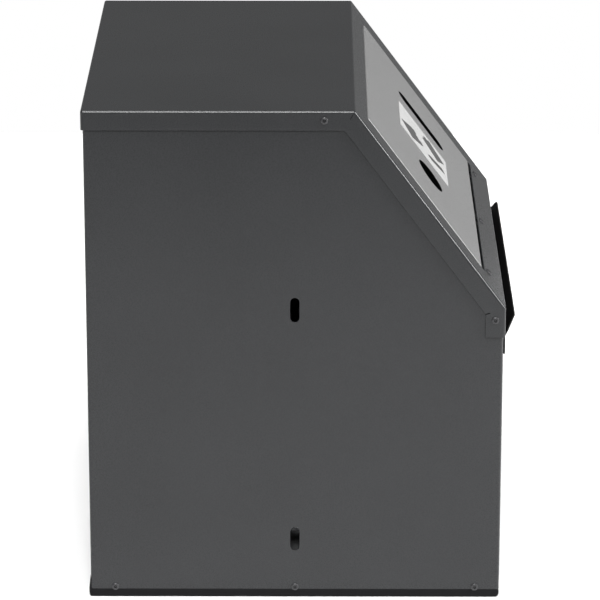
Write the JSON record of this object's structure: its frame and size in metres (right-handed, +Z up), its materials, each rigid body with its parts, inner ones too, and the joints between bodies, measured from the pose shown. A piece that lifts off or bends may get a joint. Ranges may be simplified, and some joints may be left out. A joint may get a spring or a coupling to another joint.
{
  "type": "battery recycling bin",
  "caption": "Floor-standing sheet-metal battery bin with a sloped inlet plate, a bottom-hinged front door and a lift-out steel liner.",
  "frame": {"origin": "on the floor, under the middle of the bin's overall box", "axes": "+Z up, the front with the door and the sloped inlets faces -Y, +X to the right of someone who faces +Y"},
  "size_m": [0.4532, 0.431, 0.515],
  "materials": {
    "anthracite_coat": "fine-textured anthracite powder coat",
    "silver_coat": "satin silver-grey coat",
    "black_coat": "matt black coat",
    "black_moulding": "matt black moulded plastic",
    "dark_screw": "blackened steel",
    "zinc_steel": "zinc-plated steel",
    "galvanised_sheet": "galvanised sheet",
    "label_white": "printed white film",
    "label_grey": "grey print"
  },
  "bodies": {
    "housing": {"base_tray": "black_moulding", "base_screws": "dark_screw", "body_shell": "anthracite_coat", "front_header": "anthracite_coat", "hood": "anthracite_coat", "hood_screws": "dark_screw", "hood_nuts": "zinc_steel", "aperture_plate": "silver_coat", "plate_screws": "dark_screw", "plate_nuts": "zinc_steel", "aperture_label": "label_white", "label_pictograms": "label_grey", "hinge_base_leaf": "zinc_steel", "hinge_base_screws": "zinc_steel", "hinge_pin": "zinc_steel", "catch_left": "black_moulding", "catch_right": "black_moulding", "catch_poles": "zinc_steel", "catch_screws": "zinc_steel"},
    "door": {"door_outer": "anthracite_coat", "door_inner": "anthracite_coat", "door_pull": "black_coat", "pull_rivets": "black_coat", "hinge_door_leaf": "zinc_steel", "hinge_door_rivets": "zinc_steel", "strike_left": "zinc_steel", "strike_right": "zinc_steel", "strike_rivets": "zinc_steel"},
    "liner": {"liner_box": "galvanised_sheet", "liner_ear_left": "zinc_steel", "liner_ear_right": "zinc_steel", "ear_rivets": "zinc_steel"},
    "bail": {"bail_wire": "zinc_steel", "bail_grip": "black_moulding"}
  },
  "joints": [
    {"name": "door_swing", "type": "hinge", "parent": "housing", "child": "door", "pos_m": [0, -0.199, 0.0126], "axis": [1, 0, 0], "range_deg": [0, 85]},
    {"name": "liner_lift", "type": "slide", "parent": "housing", "child": "liner", "axis": [0, 0, 1], "range_m": [0, 0.02]},
    {"name": "bail_swing", "type": "hinge", "parent": "liner", "child": "bail", "pos_m": [0, 0.0129, 0.2436], "axis": [-1, 0, 0], "range_deg": [0, 180]}
  ]
}
